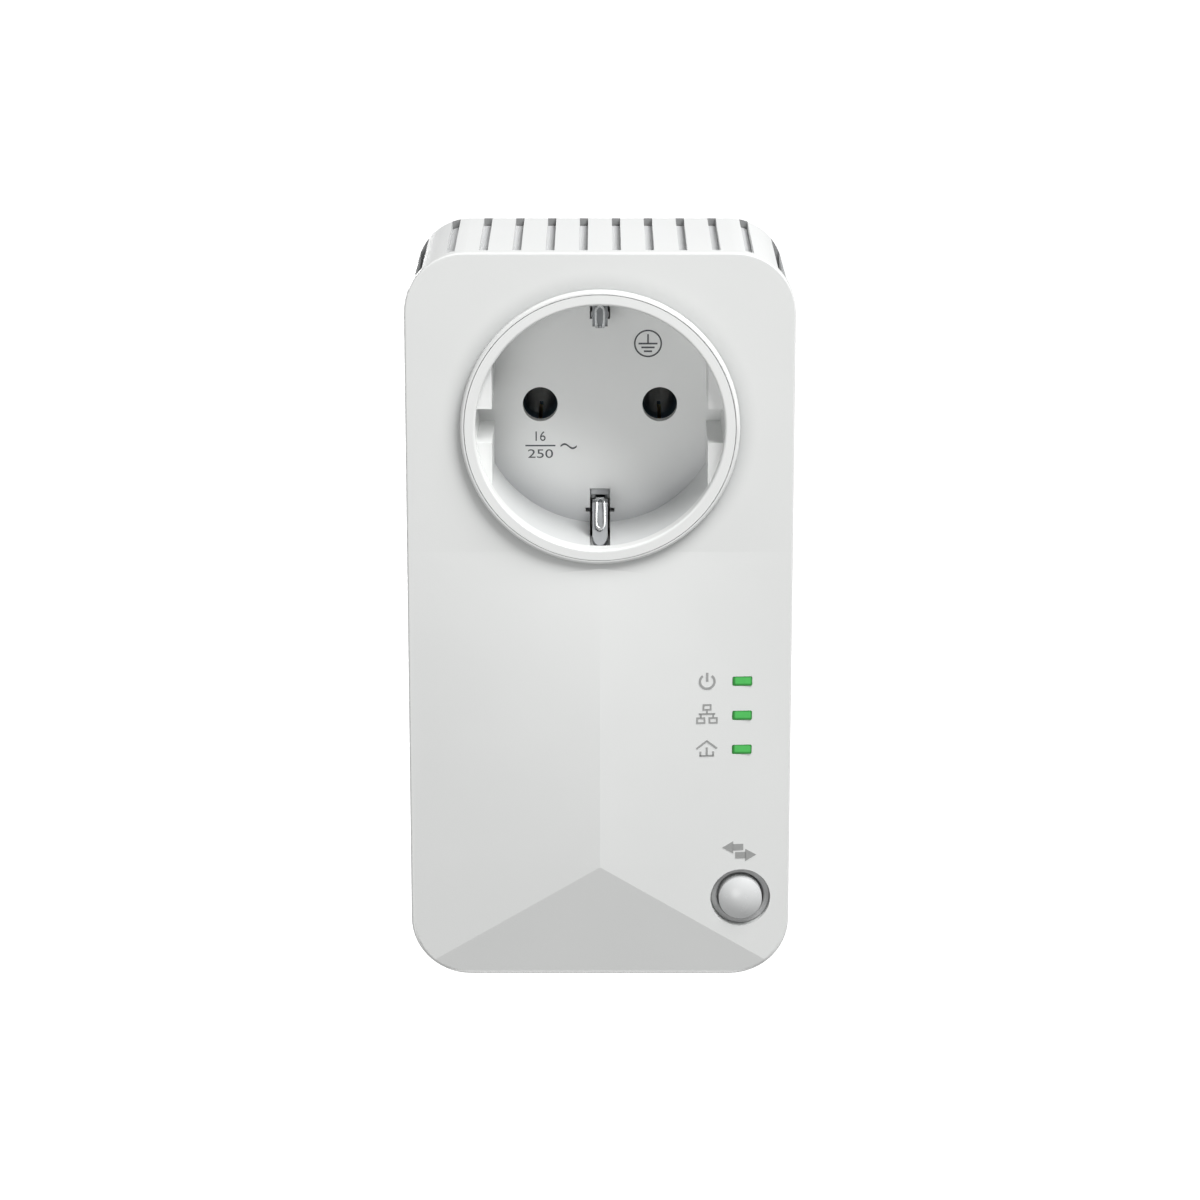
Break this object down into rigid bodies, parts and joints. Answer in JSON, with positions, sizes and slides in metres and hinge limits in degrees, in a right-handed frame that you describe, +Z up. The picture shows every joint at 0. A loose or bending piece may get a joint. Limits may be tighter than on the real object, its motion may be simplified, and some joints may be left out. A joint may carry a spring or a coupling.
{
  "type": "powerline adapter",
  "caption": "Plug-in powerline network adapter: upright case with a pass-through earthed mains socket, status lights, pairing button, top vents and a network port below.",
  "frame": {"origin": "middle of the plug's flat engagement face, on the axis that the plug and the pass-through socket share", "axes": "+X to the right seen from the front, +Y into the wall outlet along the plug pins, +Z up along the case"},
  "size_m": [0.0604, 0.075, 0.1176],
  "materials": {
    "white_case": "satin white flame-retardant plastic",
    "baffle_grey": "matt light grey plastic",
    "plug_plastic": "satin insulating plastic",
    "label_paper": "matt silver-grey film, blank",
    "button_white": "semi-gloss white plastic",
    "ring_grey": "matt mid grey plastic",
    "light_guide_clear": "clear guide lit green from behind",
    "black_plastic": "matt black plastic",
    "plunger_plastic": "matt key plastic",
    "led_body": "small epoxy bodies",
    "nickel_brass": "nickel-plated brass",
    "sleeve_bronze": "tarnished plated bronze",
    "spring_steel": "nickel-plated spring strip",
    "tinned_copper": "tinned copper strip",
    "screw_steel": "zinc-plated steel",
    "board_green": "green solder mask on glass-fibre board",
    "board_tan": "bare tan paper laminate board",
    "chip_black": "moulded epoxy",
    "crystal_can": "drawn metal can",
    "sink_aluminium": "plain extruded aluminium",
    "ferrite": "sintered ferrite",
    "winding_tape": "yellow polyester tape over copper wire",
    "copper_wire": "enamelled copper wire",
    "capacitor_sleeve": "shrunk dark sleeve over an aluminium can",
    "film_box": "yellow box plastic",
    "coupling_box": "dark grey potted box",
    "disc_blue": "blue epoxy-dipped ceramic",
    "jack_metal": "tinned steel shell",
    "gold_wire": "gold-plated spring wire"
  },
  "bodies": {
    "adapter": {"board_header": "black_plastic", "bridge_rectifier": "chip_black", "bulk_capacitors": "capacitor_sleeve", "button_ring": "ring_grey", "case_screws": "screw_steel", "choke_core": "ferrite", "choke_winding": "copper_wire", "clock_crystal": "crystal_can", "contact_sleeve_left": "sleeve_bronze", "contact_sleeve_right": "sleeve_bronze", "coupling_transformer": "coupling_box", "earth_bracket": "spring_steel", "front_panel": "white_case", "header_pins": "gold_wire", "heat_sink": "sink_aluminium", "insert_screws": "screw_steel", "jack_housing": "black_plastic", "jack_shield": "jack_metal", "jack_wires": "gold_wire", "light_guide": "light_guide_clear", "light_shield": "black_plastic", "line_capacitor": "film_box", "line_fuse": "chip_black", "line_magnetics": "black_plastic", "main_board": "board_green", "main_board_screws": "screw_steel", "mains_strap_left": "tinned_copper", "mains_strap_right": "tinned_copper", "memory_chip": "chip_black", "opto_coupler": "chip_black", "output_capacitors": "capacitor_sleeve", "pair_switch": "black_plastic", "plug_body": "plug_plastic", "plug_earth_strip_bottom": "spring_steel", "plug_earth_strip_top": "spring_steel", "plug_pin_left": "nickel_brass", "plug_pin_right": "nickel_brass", "power_board": "board_tan", "power_board_screws": "screw_steel", "processor_chip": "chip_black", "rating_label": "label_paper", "rear_housing": "white_case", "reset_switch": "black_plastic", "safety_capacitor": "disc_blue", "socket_insert": "white_case", "status_leds": "led_body", "supply_controller": "chip_black", "surge_disc": "disc_blue", "transformer_base": "black_plastic", "transformer_core": "ferrite", "transformer_winding": "winding_tape", "vent_baffle": "baffle_grey"},
    "pair_button": {"pair_button": "button_white"},
    "pair_plunger": {"pair_plunger": "plunger_plastic"},
    "reset_plunger": {"reset_plunger": "plunger_plastic"},
    "earth_clip_top": {"earth_clip_top": "spring_steel"},
    "earth_clip_bottom": {"earth_clip_bottom": "spring_steel"}
  },
  "joints": [
    {"name": "pair_button_press", "type": "slide", "parent": "adapter", "child": "pair_button", "axis": [0, 1, 0], "range_m": [0, 0.0006], "stiffness_N_per_m": 500},
    {"name": "pair_plunger_press", "type": "slide", "parent": "adapter", "child": "pair_plunger", "axis": [0, 1, 0], "range_m": [0, 0.0008]},
    {"name": "reset_plunger_press", "type": "slide", "parent": "adapter", "child": "reset_plunger", "axis": [0, 0, 1], "range_m": [0, 0.0003], "stiffness_N_per_m": 500},
    {"name": "earth_clip_top_flex", "type": "hinge", "parent": "adapter", "child": "earth_clip_top", "pos_m": [0, -0.0318, 0.0153], "axis": [1, 0, 0], "range_deg": [-3, 0], "stiffness_Nm_per_rad": 0.1},
    {"name": "earth_clip_bottom_flex", "type": "hinge", "parent": "adapter", "child": "earth_clip_bottom", "pos_m": [0, -0.0318, -0.0153], "axis": [1, 0, 0], "range_deg": [0, 3], "stiffness_Nm_per_rad": 0.1}
  ],
  "couplings": [
    {"joint": "pair_plunger_press", "follows": "pair_button_press", "ratio": 1}
  ]
}
